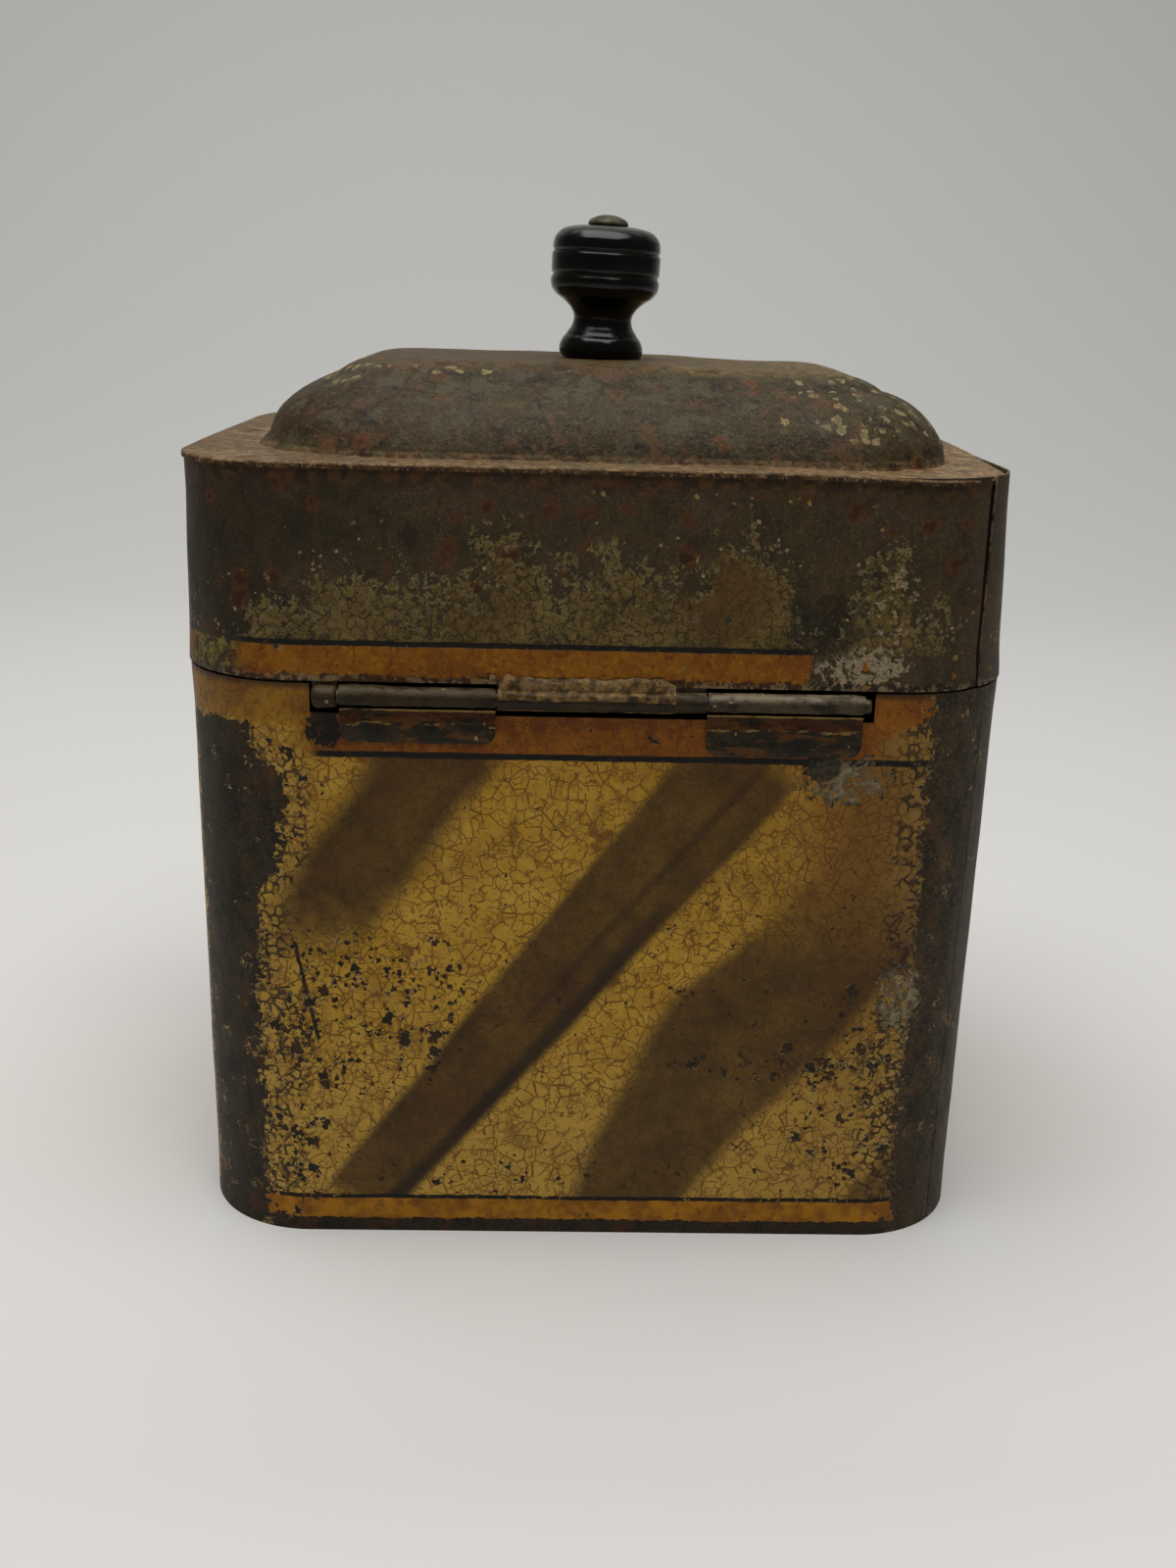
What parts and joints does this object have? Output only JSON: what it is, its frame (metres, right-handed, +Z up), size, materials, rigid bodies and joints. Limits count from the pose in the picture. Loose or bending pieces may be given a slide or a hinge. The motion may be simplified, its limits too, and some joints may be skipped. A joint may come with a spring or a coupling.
{
  "type": "hinged lid coffee tin",
  "caption": "Upright rounded-corner coffee tin of soldered tinplate with a wire-hinged lid, a stepped dome and a turned black wooden knob; opens to hold ground coffee or tea.",
  "frame": {"origin": "centre of the flat bottom, on the surface it stands on", "axes": "+Z up, +X along the wide side, +Y towards the hinge; the lid opens from the -Y side"},
  "size_m": [0.1786, 0.1389, 0.2246],
  "materials": {
    "body_paint": "hand-painted ochre with brown strokes over tinplate, crazed, worn to bare dark metal at the corners",
    "lid_paint": "hand-painted yellow band over tinplate, worn to bare metal above",
    "bare_tin": "dull dark oxidised tinplate with rust specks and paint remnants",
    "tin_inside": "dull oxidised tinplate",
    "hinge_metal": "dark oxidised tinplate with worn solder",
    "hinge_wire": "dull iron wire",
    "solder": "dull lumpy solder with paint remnants",
    "knob_black": "turned hardwood, ebonised black, worn gloss",
    "bolt_steel": "dull steel, lightly pitted"
  },
  "bodies": {
    "tin_body": {"bottom_plate": "bare_tin", "body_back_sheet": "body_paint", "body_front_sheet": "body_paint", "inner_collar": "tin_inside", "hinge_leaf_left": "hinge_metal", "hinge_leaf_right": "hinge_metal", "hinge_pin": "hinge_wire"},
    "lid": {"lid_hinge_leaf": "hinge_metal", "lid_hinge_solder": "solder", "lid_band_back": "lid_paint", "lid_band_front": "lid_paint", "lid_top": "bare_tin", "knob": "knob_black", "knob_bolt": "bolt_steel", "knob_washer": "bolt_steel", "knob_nut": "bolt_steel"}
  },
  "joints": [
    {"name": "lid_hinge", "type": "hinge", "parent": "tin_body", "child": "lid", "pos_m": [0, 0.0683, 0.1264], "axis": [-1, 0, 0], "range_deg": [0, 165]}
  ]
}
